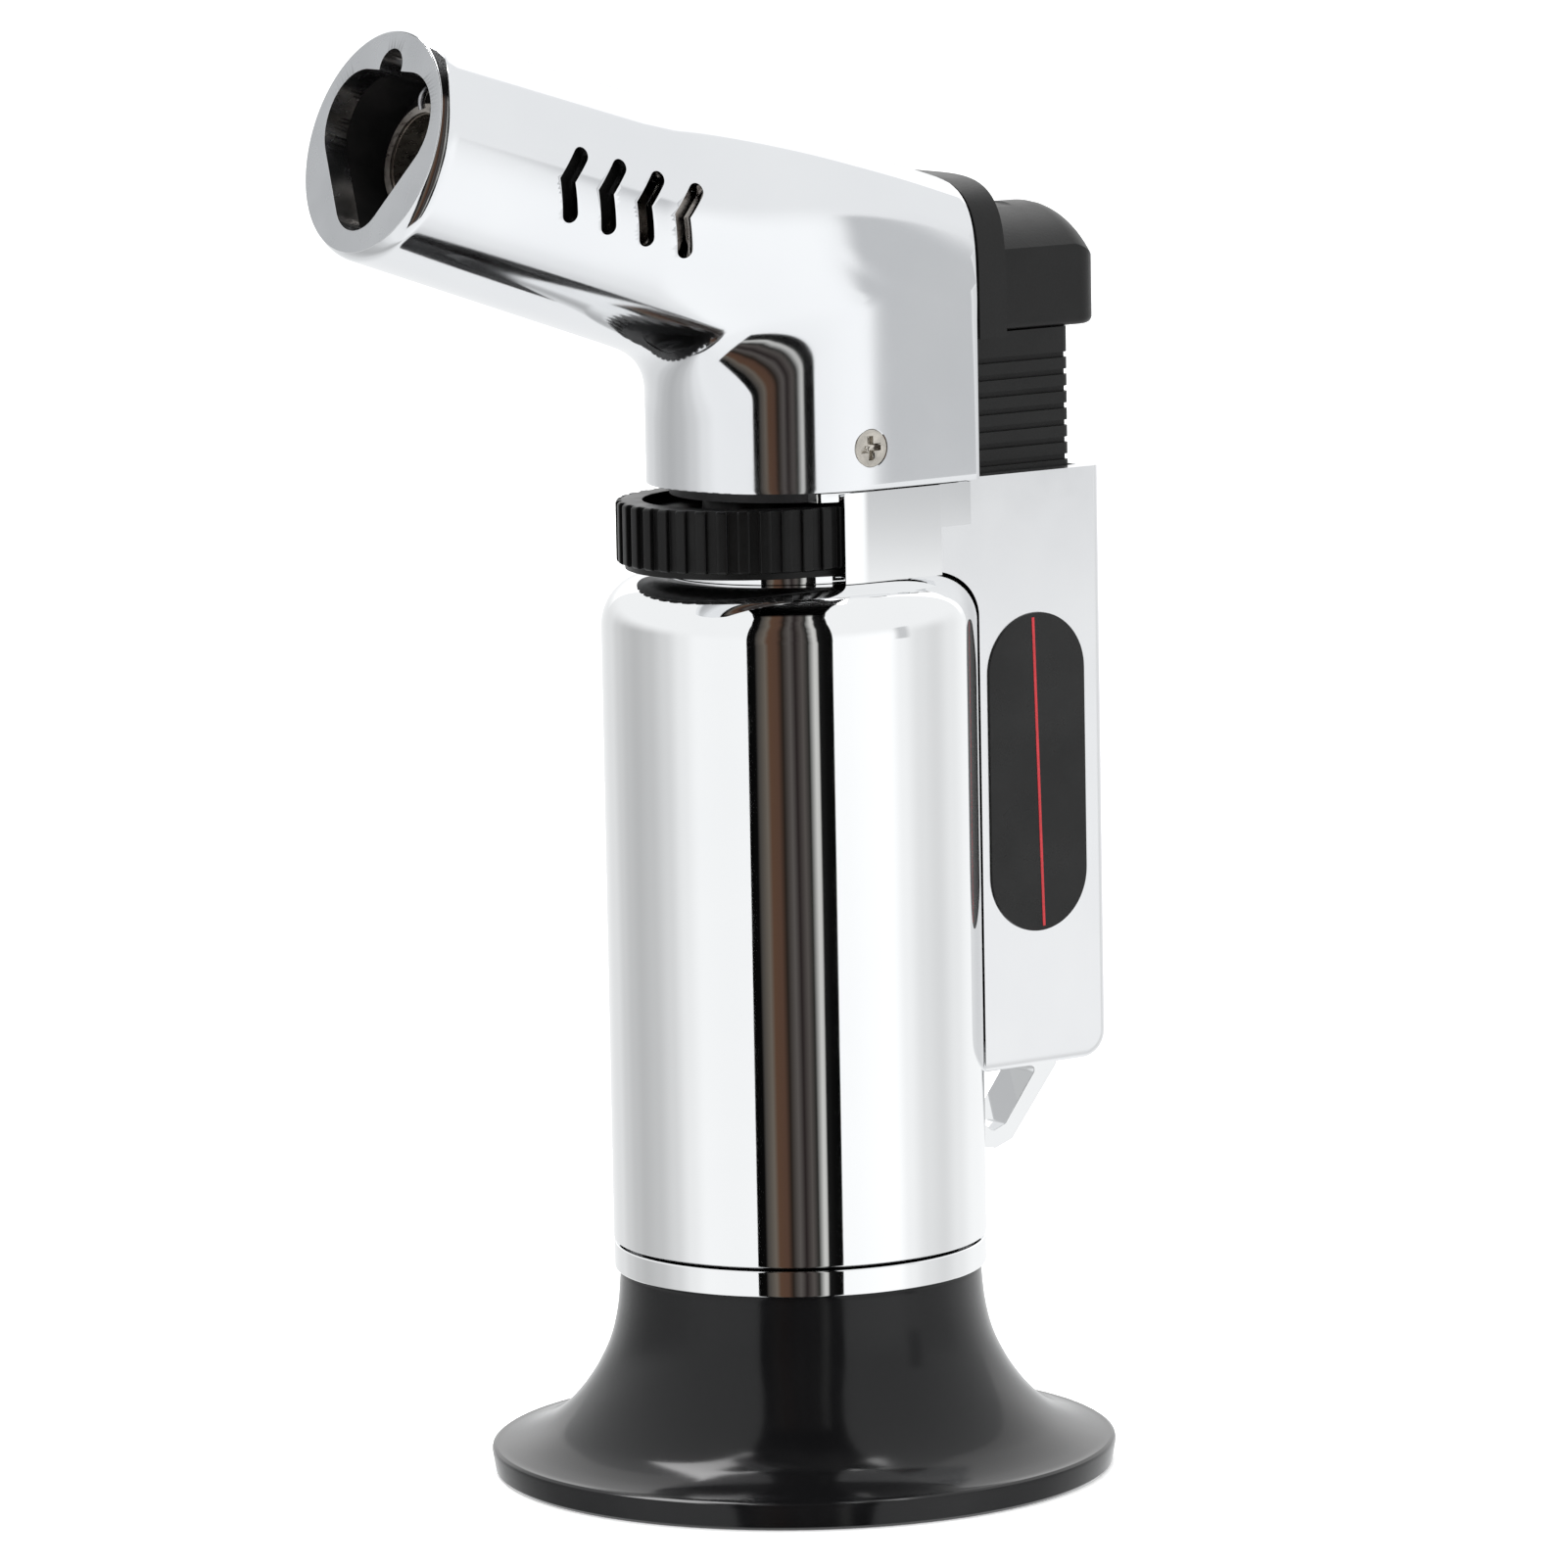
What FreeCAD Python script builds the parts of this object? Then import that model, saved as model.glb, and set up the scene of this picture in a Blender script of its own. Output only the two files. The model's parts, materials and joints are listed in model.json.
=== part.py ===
import FreeCAD, Part
import math
import os

# Butane torch. Millimetres, +Z up, origin at the centre of the foot's underside,
# nozzle towards -Y, trigger and handle towards +Y.

V = FreeCAD.Vector
os.makedirs("parts", exist_ok=True)

# tank and foot
foot_profile = [(33.6, 2.9), (32.6, 3.1), (30.8, 3.6), (28.9, 4.4), (27.2, 5.4), (25.4, 7.0),
                (23.7, 9.0), (22.1, 11.5), (20.75, 14.5), (19.95, 18.0), (19.6, 22.2)]
foot_rim_r = 33.96
foot_base_r = 33.6
foot_recess_r = 31.2
ring_z0, ring_z1 = 22.25, 25.15
tank_r = 20.25
tank_z0, tank_z1 = 25.45, 97.8
shoulder_r = 5.5

# collar and dial
collar_r, collar_z0, collar_z1 = 14.2, 97.85, 107.55
base_ring_r, base_ring_z1 = 13.0, 98.6
ear_x, ear_y0, ear_y1, ear_z0 = 14.5, 1.5, 13.8, 102.9
skirt_x, skirt_y0, skirt_y1 = 15.0, -3.0, 9.5
valve_y = -5.0
dial_r, dial_z0, dial_z1 = 14.3, 99.5, 106.2
dial_grooves, groove_w, groove_d = 38, 1.15, 0.6
dial_skirt_r, dial_skirt_z0 = 13.4, 98.8

# head
head_z0, head_back, neck_r = 107.75, 14.55, 15.1
tilt = math.radians(17.9)
mouth = V(0, -51.0, 146.6)
barrel_r0, barrel_growth = 12.2, 0.026
head_wall = 1.2
screw_y, screw_z, screw_r = 0.35, 112.15, 2.0
vent_back, vent_pitch, vent_w = 15.3, 4.95, 1.8
vent_bends = [(1.2, 3.7), (0.0, 0.8), (1.45, -2.5)]
throat_r, face_proud = 7.0, 0.85

# handle and trigger
handle_x, handle_y1 = 12.0, 33.4
handle_z0, handle_z1 = 42.6, 107.6
handle_wall = 1.3
label_y, label_z, label_r, label_len = 24.05, 74.9, 6.45, 34.8
trigger_travel = 8.0
slide_x, slide_y0, slide_y1 = 9.4, 17.6, 31.3
slide_z0 = 84.0
pad_x, pad_y1, pad_z0, pad_z1 = 9.6, 35.7, 122.7, 135.8
pad_side_z, crown_r = 131.5, 12.9
rib_pitch, rib_gap = 1.85, 0.6
piezo_y, post_y = 25.0, 26.7
lever_pivot = V(0, 8.0, 110.0)
stem_top = 113.6
spark_up = 7.4

axis_fwd = V(0, -math.cos(tilt), math.sin(tilt))
axis_up = V(0, math.sin(tilt), math.cos(tilt))


def box(x0, x1, y0, y1, z0, z1):
    return Part.makeBox(x1 - x0, y1 - y0, z1 - z0, V(x0, y0, z0))


def cyl(r, z0, z1, x=0.0, y=0.0):
    return Part.makeCylinder(r, z1 - z0, V(x, y, z0))


def rod(r, a, b):
    return Part.makeCylinder(r, (b - a).Length, a, b - a)


def tube(r_out, r_in, z0, z1, x=0.0, y=0.0):
    return cyl(r_out, z0, z1, x, y).cut(cyl(r_in, z0 - 1, z1 + 1, x, y))


def lathe(points, x=0.0, y=0.0):
    wire = Part.makePolygon([V(r, 0, z) for r, z in points + points[:1]])
    solid = Part.Face(wire).revolve(V(0, 0, 0), V(0, 0, 1), 360)
    solid.translate(V(x, y, 0))
    return solid


def side_plate(points, x0, x1):
    """Prism from a (y, z) outline, between two x planes."""
    wire = Part.makePolygon([V(x0, y, z) for y, z in points + points[:1]])
    return Part.Face(wire).extrude(V(x1 - x0, 0, 0))


def barrel_point(x, up, back):
    """Point in the barrel's own frame: x across, up from its axis, back from the mouth."""
    return mouth + V(x, 0, 0) + axis_up * up - axis_fwd * back


def to_barrel(shape):
    """Place a shape made round +Z at the origin on the barrel axis, +Z towards the mouth."""
    out = shape.copy()
    turn = FreeCAD.Rotation(V(1, 0, 0), axis_up, axis_fwd, "XZY")
    out.Placement = FreeCAD.Placement(mouth, turn).multiply(out.Placement)
    return out


def spring(radius, wire_r, z0, z1, turns, x=0.0, y=0.0):
    height = z1 - z0 - 2 * wire_r
    coil = Part.makeHelix(height / turns, height, radius)
    ring = Part.Wire([Part.makeCircle(wire_r, V(radius, 0, 0), V(0, 1, 0))])
    solid = Part.Wire(coil.Edges).makePipeShell([ring], True, True)
    solid.translate(V(x, y, z0 + wire_r))
    return solid


def pipe(points, radius):
    """Round cord through the given points."""
    curve = Part.BSplineCurve()
    curve.interpolate(points)
    path = Part.Wire([curve.toShape()])
    start = curve.tangent(curve.FirstParameter)[0]
    ring = Part.Wire([Part.makeCircle(radius, points[0], start)])
    return path.makePipeShell([ring], True, True)


def round_box(x0, x1, y0, y1, z0, z1, r):
    """Box with its four upright edges rounded."""
    solid = box(x0, x1, y0, y1, z0, z1)
    return solid.makeFillet(r, [e for e in solid.Edges if abs(e.tangentAt(0).z) > 0.999])


# foot and tank

def foot():
    curve = Part.BSplineCurve()
    curve.interpolate([V(r, 0, z) for r, z in foot_profile])
    top = foot_profile[-1][1]
    corners = [V(foot_profile[-1][0], 0, top), V(17.3, 0, top), V(17.3, 0, 26.6), V(15.4, 0, 26.6),
               V(15.4, 0, 24.0), V(6.0, 0, 24.0), V(6.0, 0, 20.5), V(17.0, 0, 17.5), V(18.6, 0, 12.5),
               V(21.4, 0, 8.3), V(25.6, 0, 4.2), V(30.4, 0, 1.5), V(foot_recess_r, 0, 1.2), V(foot_recess_r, 0, 0),
               V(foot_base_r - 0.4, 0, 0), V(foot_base_r, 0, 0.5), V(foot_rim_r, 0, 2.6),
               V(foot_profile[0][0], 0, foot_profile[0][1])]
    edges = [curve.toShape()] + [Part.makeLine(a, b) for a, b in zip(corners, corners[1:])]
    return Part.Face(Part.Wire(edges)).revolve(V(0, 0, 0), V(0, 0, 1), 360)


def tank_outer():
    body = cyl(tank_r, tank_z0, tank_z1)
    return body.makeFillet(shoulder_r, [e for e in body.Edges if e.BoundBox.ZMin > tank_z1 - 0.01])


def tank_shell():
    hollow = cyl(tank_r - 0.8, tank_z0 - 1, tank_z1 - 0.8)
    rim = [e for e in hollow.Edges if e.BoundBox.ZMin > tank_z1 - 0.81]
    hollow = hollow.makeFillet(shoulder_r - 0.8, rim)
    return tank_outer().cut(hollow).cut(cyl(11.2, tank_z1 - 2, tank_z1 + 1))


def fuel_tank():
    body = cyl(19.3, 27.0, 95.4)
    rim = [e for e in body.Edges if e.BoundBox.ZMin > 95.3]
    body = body.makeFillet(4.4, rim)
    hollow = cyl(17.9, 28.6, 93.6)
    rim = [e for e in hollow.Edges if e.BoundBox.ZMin > 93.5]
    hollow = hollow.makeFillet(3.0, rim)
    return body.cut(hollow).cut(cyl(4.1, 90, 97, 0, valve_y)).cut(cyl(3.6, 26, 30))


def collar():
    wall = tube(collar_r, 12.8, collar_z0, collar_z1)
    for side in (-1, 1):
        ear = box(min(side * 12.9, side * ear_x), max(side * 12.9, side * ear_x),
                  ear_y0, ear_y1, ear_z0, collar_z1)
        wall = wall.fuse(ear.cut(cyl(12.8, 90, 110)))
    wall = wall.cut(box(-16, 16, -16, -5.5, collar_z0 - 1, collar_z1 + 1))
    wall = wall.cut(cyl(dial_r + 0.35, collar_z0 - 1, dial_z1 + 0.4, 0, valve_y))
    wall = wall.cut(box(-3.8, 3.8, 8, 16, base_ring_z1, collar_z1 + 1))
    skirt = cyl(skirt_x, collar_z0, collar_z1).common(box(-16, 16, skirt_y0, 0, collar_z0, collar_z1))
    skirt = skirt.fuse(box(-skirt_x, skirt_x, 0, skirt_y1, collar_z0, collar_z1))
    skirt = skirt.cut(box(-14.6, 14.6, -16, 16, 90, 110))
    rib = box(14.0, 14.7, ear_y0, skirt_y1, collar_z0, collar_z1)
    skirt = skirt.fuse(rib).fuse(rib.mirror(V(0, 0, 0), V(1, 0, 0)))
    wall = wall.fuse(skirt)
    return wall.fuse(tube(base_ring_r, 11.3, collar_z0, base_ring_z1)).removeSplitter()


def flame_dial():
    wheel = cyl(dial_r, dial_z0, dial_z1, 0, valve_y)
    wheel = wheel.makeChamfer(0.25, [e for e in wheel.Edges if len(e.Vertexes) == 1 or e.Closed])
    for i in range(dial_grooves):
        groove = box(dial_r - groove_d, dial_r + 1, -groove_w / 2, groove_w / 2, dial_z0 - 1, dial_z1 + 1)
        groove.rotate(V(0, 0, 0), V(0, 0, 1), -90 + i * 360 / dial_grooves)
        groove.translate(V(0, valve_y, 0))
        wheel = wheel.cut(groove)
    wheel = wheel.fuse(cyl(dial_skirt_r, dial_skirt_z0, dial_z0 + 0.3, 0, valve_y))
    dish = tube(11.4, 5.0, dial_z1 - 1.2, dial_z1 + 1, 0, valve_y)
    return wheel.cut(dish).cut(cyl(3.06, 90, 110, 0, valve_y)).removeSplitter()


# head

def smooth(a, b, t):
    t = min(max(t, 0.0), 1.0)
    return a + (b - a) * t * t * (3 - 2 * t)


def head_section(y, inset):
    """Closed outline in the plane at y: round along the barrel, squarer towards the back."""
    back = (y - mouth.y) / math.cos(tilt)
    centre = mouth.z - (y - mouth.y) * math.tan(tilt)
    blend = (y + 24.0) / 24.0
    radius = barrel_r0 + barrel_growth * back
    wide = smooth(radius, 15.2, blend) - inset
    high = smooth(radius / math.cos(tilt), 14.6, blend) - inset
    power = smooth(2.0, 4.2, (y + 20.0) / 32.0)
    low_power = smooth(2.0, 2.6, (y + 20.0) / 32.0)
    points = []
    for i in range(48):
        a = 2 * math.pi * i / 48
        c, s = math.cos(a), math.sin(a)
        p = power if s > 0 else low_power
        r = (abs(c) ** p + abs(s) ** p) ** (-1 / p)
        points.append(V(wide * r * c, y, centre + high * r * s))
    curve = Part.BSplineCurve()
    curve.interpolate(points, True)
    return Part.Wire([curve.toShape()])


def head_solid(inset):
    rows = [-66, -54, -42, -33, -26, -20, -14, -8, -2, 4, 10, 16]
    barrel = Part.makeLoft([head_section(y, inset) for y in rows], True, False)
    if not inset:
        barrel = barrel.cut(to_barrel(Part.makeBox(60, 60, 60, V(-30, -30, 0))))
    r = neck_r - inset
    low = head_z0 - (inset and 5)
    neck = cyl(r, low, 134).fuse(box(-r, r, 0, 16, low, 134)).removeSplitter()
    slab = Part.makeBox(60, 60, 120, V(-30, -61, -100))
    neck = neck.common(to_barrel(slab).common(box(-40, 40, -40, 40, 90, 160)))
    return barrel.fuse(neck).cut(box(-40, 40, head_back - inset, 60, 60, 200))


def throat(edge):
    """The seam under the barrel where it meets the front of the neck."""
    b = edge.BoundBox
    return 115 < b.ZMin and b.ZMax < 130 and b.YMin < -1 and edge.Curve.TypeId != "Part::GeomLine"


def chevron(back, side):
    """Vent slot with its elbow towards the mouth, cut sideways through the wall."""
    bends = [barrel_point(0, up, back + step) for step, up in vent_bends]
    cut = None
    for a, b in zip(bends, bends[1:]):
        along = b - a
        wide = V(0, -along.z, along.y).normalize() * (vent_w / 2)
        corners = [a + wide, b + wide, b - wide, a - wide]
        piece = Part.Face(Part.makePolygon(corners + corners[:1])).extrude(V(side * 18, 0, 0))
        for end in (a, b):
            piece = piece.fuse(Part.makeCylinder(vent_w / 2, 18, end, V(side, 0, 0)))
        cut = piece if cut is None else cut.fuse(piece)
    return cut


def head_shell():
    outer = head_solid(0)
    outer = outer.makeFillet(throat_r, [e for e in outer.Edges if throat(e)])
    shell = outer.cut(head_solid(head_wall))
    for side in (-1, 1):
        for i in range(4):
            shell = shell.cut(chevron(vent_back + i * vent_pitch, side))
        x = side * neck_r
        sink = Part.makeCone(screw_r + 0.15, 1.0, 1.15, V(x, screw_y, screw_z), V(-side, 0, 0))
        shell = shell.cut(sink).cut(rod(1.05, V(x, screw_y, screw_z), V(side * 12, screw_y, screw_z)))
    return shell


def head_screw(side):
    face = V(side * (neck_r - 0.1), screw_y, screw_z)
    body = Part.makeCone(screw_r, 0.98, 1.0, face, V(-side, 0, 0))
    body = body.fuse(rod(0.98, face, face - V(side * 5, 0, 0)))
    for half_y, half_z in ((0.3, 1.3), (1.3, 0.3)):
        x0, x1 = sorted((face.x - side * 0.7, face.x + side))
        body = body.cut(box(x0, x1, screw_y - half_y, screw_y + half_y, screw_z - half_z, screw_z + half_z))
    return body


def mouth_outline(grow, z0, z1):
    """Shield-shaped prism on the barrel axis, wide shoulders above and a narrow rounded foot."""
    lobes = [(3.95, 2.05, 5.6), (-3.95, 2.05, 5.6), (0.0, -4.9, 4.55)]
    solid = None
    for x, y, r in lobes:
        part = cyl(r + grow, z0, z1, x, y)
        solid = part if solid is None else solid.fuse(part)
    (xa, ya, ra), (xb, yb, rb) = lobes[0], lobes[2]
    turn = math.atan2(yb - ya, xb - xa) + math.acos((ra - rb) / math.hypot(xb - xa, yb - ya))
    flank = [(x + (r + grow) * math.cos(turn), y + (r + grow) * math.sin(turn))
             for x, y, r in (lobes[0], lobes[2])]
    top = ya + ra + grow
    corners = [(-xa, top), (xa, top)] + flank + [(-x, y) for x, y in reversed(flank)]
    wire = Part.makePolygon([V(x, y, z0) for x, y in corners + corners[:1]])
    solid = solid.fuse(Part.Face(wire).extrude(V(0, 0, z1 - z0)))
    return solid.fuse(cyl(2.05 + grow, z0, z1, 0, 7.95)).removeSplitter()


def nozzle_face():
    rim = cyl(barrel_r0 - 0.02, 0.02, face_proud)
    rim = rim.makeFillet(face_proud - 0.1, [e for e in rim.Edges if e.BoundBox.ZMin > face_proud - 0.01])
    plug = cyl(barrel_r0 - head_wall - 0.06, -2.0, 0.1)
    return to_barrel(rim.fuse(plug).removeSplitter().cut(mouth_outline(0, -5, 5)))


def nozzle_liner():
    sleeve = mouth_outline(0.9, -24, -2.1).common(cyl(barrel_r0 - head_wall - 0.15, -24, -2))
    sleeve = sleeve.cut(mouth_outline(0.15, -8, -1)).cut(mouth_outline(-1.3, -25, -7))
    return to_barrel(sleeve.cut(cyl(1.5, -25, -1, 0, spark_up)))


def burner_tube():
    pipe_wall = tube(5.2, 4.6, -41.5, -5.2).fuse(tube(5.0, 2.0, -41.5, -40.5))
    for turn in (0, 90):
        hole = Part.makeCylinder(1.3, 14, V(-7, 0, -37.5), V(1, 0, 0))
        hole.rotate(V(0, 0, 0), V(0, 0, 1), turn + 45)
        pipe_wall = pipe_wall.cut(hole)
    lip = tube(5.6, 4.7, -6.7, -4.8)
    return to_barrel(pipe_wall.fuse(lip).removeSplitter())


def flame_gauze():
    disc = cyl(4.55, -8.6, -7.8)
    for ring_r, count in ((0.0, 1), (1.7, 6), (3.4, 12)):
        for i in range(count):
            a = 2 * math.pi * i / count
            disc = disc.cut(cyl(0.55, -10, -6, ring_r * math.cos(a), ring_r * math.sin(a)))
    return to_barrel(disc)


def burner_holder():
    ring = tube(11.5, 5.25, -32, -30)
    for i in range(6):
        a = math.pi * (2 * i + 1) / 6
        ring = ring.cut(cyl(2.0, -33, -29, 8.4 * math.cos(a), 8.4 * math.sin(a)))
    return to_barrel(ring.cut(cyl(1.35, -33, -29, 0, spark_up)))


def gas_jet():
    nut = Part.Face(Part.makePolygon([V(2.8 * math.cos(i * math.pi / 3), 2.8 * math.sin(i * math.pi / 3), -50)
                                      for i in range(7)])).extrude(V(0, 0, 3))
    jet = nut.fuse(cyl(1.8, -47, -41.8)).fuse(Part.makeCone(1.8, 0.9, 1.2, V(0, 0, -41.8)))
    return to_barrel(jet.cut(cyl(0.35, -51, -40)))


def gas_hose():
    """Up from the stem's cap, round one wide turn, and forwards into the jet."""
    z, r = stem_top + 1.8, 4.0
    jet = barrel_point(0, 0, 50)
    last = jet - axis_fwd * 6.08
    turn = last - axis_up * r
    low = V(0, valve_y, turn.z - 2 * r)
    first = low + V(0, r, 0)
    route = [Part.makeLine(V(0, valve_y, z), low),
             Part.Arc(low, first + V(0, -r, r) * math.sqrt(0.5), first + V(0, 0, r)).toShape(),
             Part.makeLine(first + V(0, 0, r), V(0, turn.y, turn.z - r)),
             Part.Arc(V(0, turn.y, turn.z - r), turn + V(0, r, 0), last).toShape(),
             Part.makeLine(last, jet)]
    ring = Part.Wire([Part.makeCircle(1.3, route[0].Vertexes[0].Point, V(0, 0, 1))])
    hose = Part.Wire(route).makePipeShell([ring], True, True)
    cap = cyl(2.0, z - 2.6, z, 0, valve_y).cut(cyl(1.26, z - 3, z - 0.3, 0, valve_y))
    return Part.Compound([hose, cap])


def electrode_insulator():
    return to_barrel(cyl(1.3, -34, -6.2, 0, spark_up).cut(cyl(0.42, -35, -5, 0, spark_up)))


def electrode_wire():
    straight = cyl(0.38, -33.5, -6, 0, spark_up)
    bend = pipe([V(0, spark_up, -6.1), V(0, spark_up, -4.7), V(0, spark_up - 0.7, -3.95),
                 V(0, spark_up - 1.7, -3.8), V(0, spark_up - 2.5, -4.1)], 0.38)
    return to_barrel(straight.fuse(bend))


def spark_lead():
    start = barrel_point(0, spark_up, 34.4)
    return pipe([start, barrel_point(1.5, spark_up, 38), V(6, 2, 132), V(7, 9, 126), V(6.6, 11.2, 118),
                 V(5.2, 11.5, 111.5), V(3.2, 11.6, 108.2), V(2.9, 12.6, 105.8), V(2.85, 16.5, 103.6),
                 V(2.8, 21.2, 103.2)], 0.5)


# valves

def outlet_valve_body():
    return lathe([(0.6, 86.0), (4.0, 86.0), (4.0, 95.45), (5.5, 95.45), (5.5, 97.7), (3.0, 97.7), (3.0, 107.9),
                  (1.25, 107.9), (1.25, 94.0), (2.6, 94.0), (2.6, 88.0), (0.6, 88.0)], 0, valve_y)


def outlet_stem():
    return lathe([(0, 88.9), (2.2, 88.9), (2.2, 90.4), (1.2, 90.4), (1.2, 110.25), (2.6, 110.25), (2.6, 111.2),
                  (1.2, 111.2), (1.2, stem_top), (0, stem_top)], 0, valve_y).cut(cyl(0.5, 92, 120, 0, valve_y))


def refill_valve_body():
    return lathe([(1.65, 22.6), (3.6, 22.6), (3.6, 25.2), (5.4, 25.2), (5.4, 26.95), (3.5, 26.95), (3.5, 33.5),
                  (1.0, 33.5), (1.0, 32.5), (2.5, 32.5), (2.5, 27.2), (1.65, 27.2)])


def refill_stem():
    return lathe([(0, 20.2), (1.6, 20.2), (1.6, 27.55), (2.3, 27.55), (2.3, 28.8), (0, 28.8)]).cut(cyl(0.5, 20, 27))


def valve_frame():
    plate = cyl(12.6, 106.55, 107.65).cut(cyl(3.3, 100, 110, 0, valve_y))
    plate = plate.cut(box(-2.3, 2.3, 9.0, 13, 106, 108)).cut(box(2.0, 3.9, 10.3, 13, 106, 108))
    for side in (-1, 1):
        x0, x1 = sorted((side * 9.5, side * 12.2))
        boss = box(x0, x1, -2.2, 2.9, 106.9, 114.6)
        x0, x1 = sorted((side * 12.0, side * 13.5))
        boss = boss.fuse(box(x0, x1, -2.2, 2.9, 107.8, 114.6))
        boss = boss.cut(rod(1.02, V(0, screw_y, screw_z), V(side * 20, screw_y, screw_z)))
        x0, x1 = sorted((side * 2.2, side * 3.7))
        cheek = box(x0, x1, 5.8, 10.2, 107.0, 112.2)
        cheek = cheek.cut(Part.makeCylinder(0.87, 10, lever_pivot - V(5, 0, 0), V(1, 0, 0)))
        plate = plate.fuse(boss).fuse(cheek).fuse(cyl(0.9, base_ring_z1 + 0.02, 107, side * 8.6, 8.1))
    return plate.removeSplitter()


def valve_lever():
    fork = box(-3.4, 3.4, -6.8, 4.6, 108.75, 109.9).cut(box(-1.5, 1.5, -8, -3.2, 108, 111))
    arm = side_plate([(4.0, 108.75), (4.0, 109.9), (6.3, 111.7), (9.5, 111.7), (10.4, 110.4), (17.3, 100.6),
                      (29.0, 99.6), (29.0, 98.2), (16.2, 98.9), (9.4, 107.9), (6.5, 108.2)], -1.9, 1.9)
    return fork.fuse(arm).cut(rod(0.9, lever_pivot - V(5, 0, 0), lever_pivot + V(5, 0, 0))).removeSplitter()


# handle and trigger

def handle_shell():
    solid = box(-handle_x, handle_x, 6.0, handle_y1, handle_z0, handle_z1)

    def picked(test):
        return [e for e in solid.Edges if test(e.BoundBox)]
    solid = solid.makeFillet(3.0, picked(lambda b: b.YMin > handle_y1 - 0.01 and b.ZMax < handle_z0 + 0.01))
    solid = solid.makeFillet(1.2, picked(lambda b: b.YMin > handle_y1 - 0.9 and b.ZMax - b.ZMin > 50))
    inner = handle_x - handle_wall
    hollow = box(-inner, inner, 21.8, handle_y1 - handle_wall, handle_z0 + handle_wall, handle_z1 - handle_wall)
    hollow = hollow.fuse(box(-inner, inner, 0, 25, 94.7, handle_z1 - handle_wall))
    hollow = hollow.fuse(box(-slide_x - 0.35, slide_x + 0.35, slide_y0 - 0.35, slide_y1 + 0.35, 100, 110))
    shoulder = cyl(tank_r + 0.2, 0, tank_z1 + 0.2)
    shoulder = shoulder.makeFillet(shoulder_r, [e for e in shoulder.Edges if e.BoundBox.ZMin > tank_z1])
    solid = solid.cut(hollow).cut(shoulder)
    return solid.cut(cyl(collar_r + 0.2, 95, 110)).removeSplitter()


def label_plate(side):
    lo, hi = sorted((side * handle_x, side * (handle_x + 0.25)))
    run = label_len / 2 - label_r
    shape = box(lo, hi, label_y - label_r, label_y + label_r, label_z - run, label_z + run)
    for z in (label_z - run, label_z + run):
        shape = shape.fuse(Part.makeCylinder(label_r, hi - lo, V(lo, label_y, z), V(1, 0, 0)))
    return shape.removeSplitter()


def label_stripe(side):
    lo, hi = sorted((side * (handle_x + 0.25), side * (handle_x + 0.3)))
    bar = box(lo, hi, label_y - 0.17, label_y + 0.17, label_z - 16.9, label_z + 16.9)
    bar.rotate(V(0, label_y, label_z), V(1, 0, 0), 1.6)
    return bar


def hanging_loop():
    outer = side_plate([(20.9, 42.55), (33.1, 42.55), (33.1, 40.5), (26.9, 32.9), (24.6, 32.1), (22.2, 32.6),
                        (20.9, 34.6)], -2.85, 2.85)
    hole = side_plate([(22.6, 40.7), (30.5, 40.7), (25.9, 34.7), (24.3, 34.1), (22.6, 35.2)], -5, 5)
    loop = outer.cut(hole)
    across = [e for e in loop.Edges if e.BoundBox.XMax - e.BoundBox.XMin > 5 and e.BoundBox.ZMax < 42]
    return loop.makeFillet(0.5, across)


def trigger_slide():
    tower = box(-slide_x, slide_x, slide_y0, slide_y1, slide_z0, pad_z0 - 0.05)
    tower = tower.makeFillet(1.0, [e for e in tower.Edges if e.BoundBox.ZMax - e.BoundBox.ZMin > 30])
    z = handle_z1 + 0.6
    while z < pad_z0 - 1.6:
        ring = box(-20, 20, 0, 40, z, z + rib_gap).cut(
            box(-slide_x + 0.5, slide_x - 0.5, -1, slide_y1 - 0.5, z - 1, z + 2))
        tower = tower.cut(ring)
        z += rib_pitch
    tower = tower.cut(box(-8.0, 8.0, slide_y0 + 1.4, slide_y1 - 1.4, slide_z0 + 2, 130))
    tower = tower.cut(box(-20, 20, 0, 22.0, slide_z0 - 1, 106))
    tower = tower.cut(box(-8.0, 8.0, 0, 24.0, slide_z0 + 2, 103))
    tower = tower.cut(box(-3.6, 3.6, 0, 22, 100, 113.2))
    return tower.cut(cyl(2.62, slide_z0 - 1, slide_z0 + 3, 0, post_y))


def fin_outline(y0, y1):
    centre, points = 125.2, []
    for i in range(33):
        a = math.pi * i / 32
        c, s = math.cos(a), math.sin(a)
        r = (abs(c) ** 4.2 + abs(s) ** 4.2) ** (-1 / 4.2)
        points.append(V(15.0 * r * c, y0, centre + 14.6 * r * s))
    curve = Part.BSplineCurve()
    curve.interpolate(points)
    foot_line = [V(-15.0, y0, pad_z0), V(15.0, y0, pad_z0)]
    edges = [curve.toShape(), Part.makeLine(points[-1], foot_line[0]), Part.makeLine(*foot_line),
             Part.makeLine(foot_line[1], points[0])]
    return Part.Face(Part.Wire(edges)).extrude(V(0, y1 - y0, 0))


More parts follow.
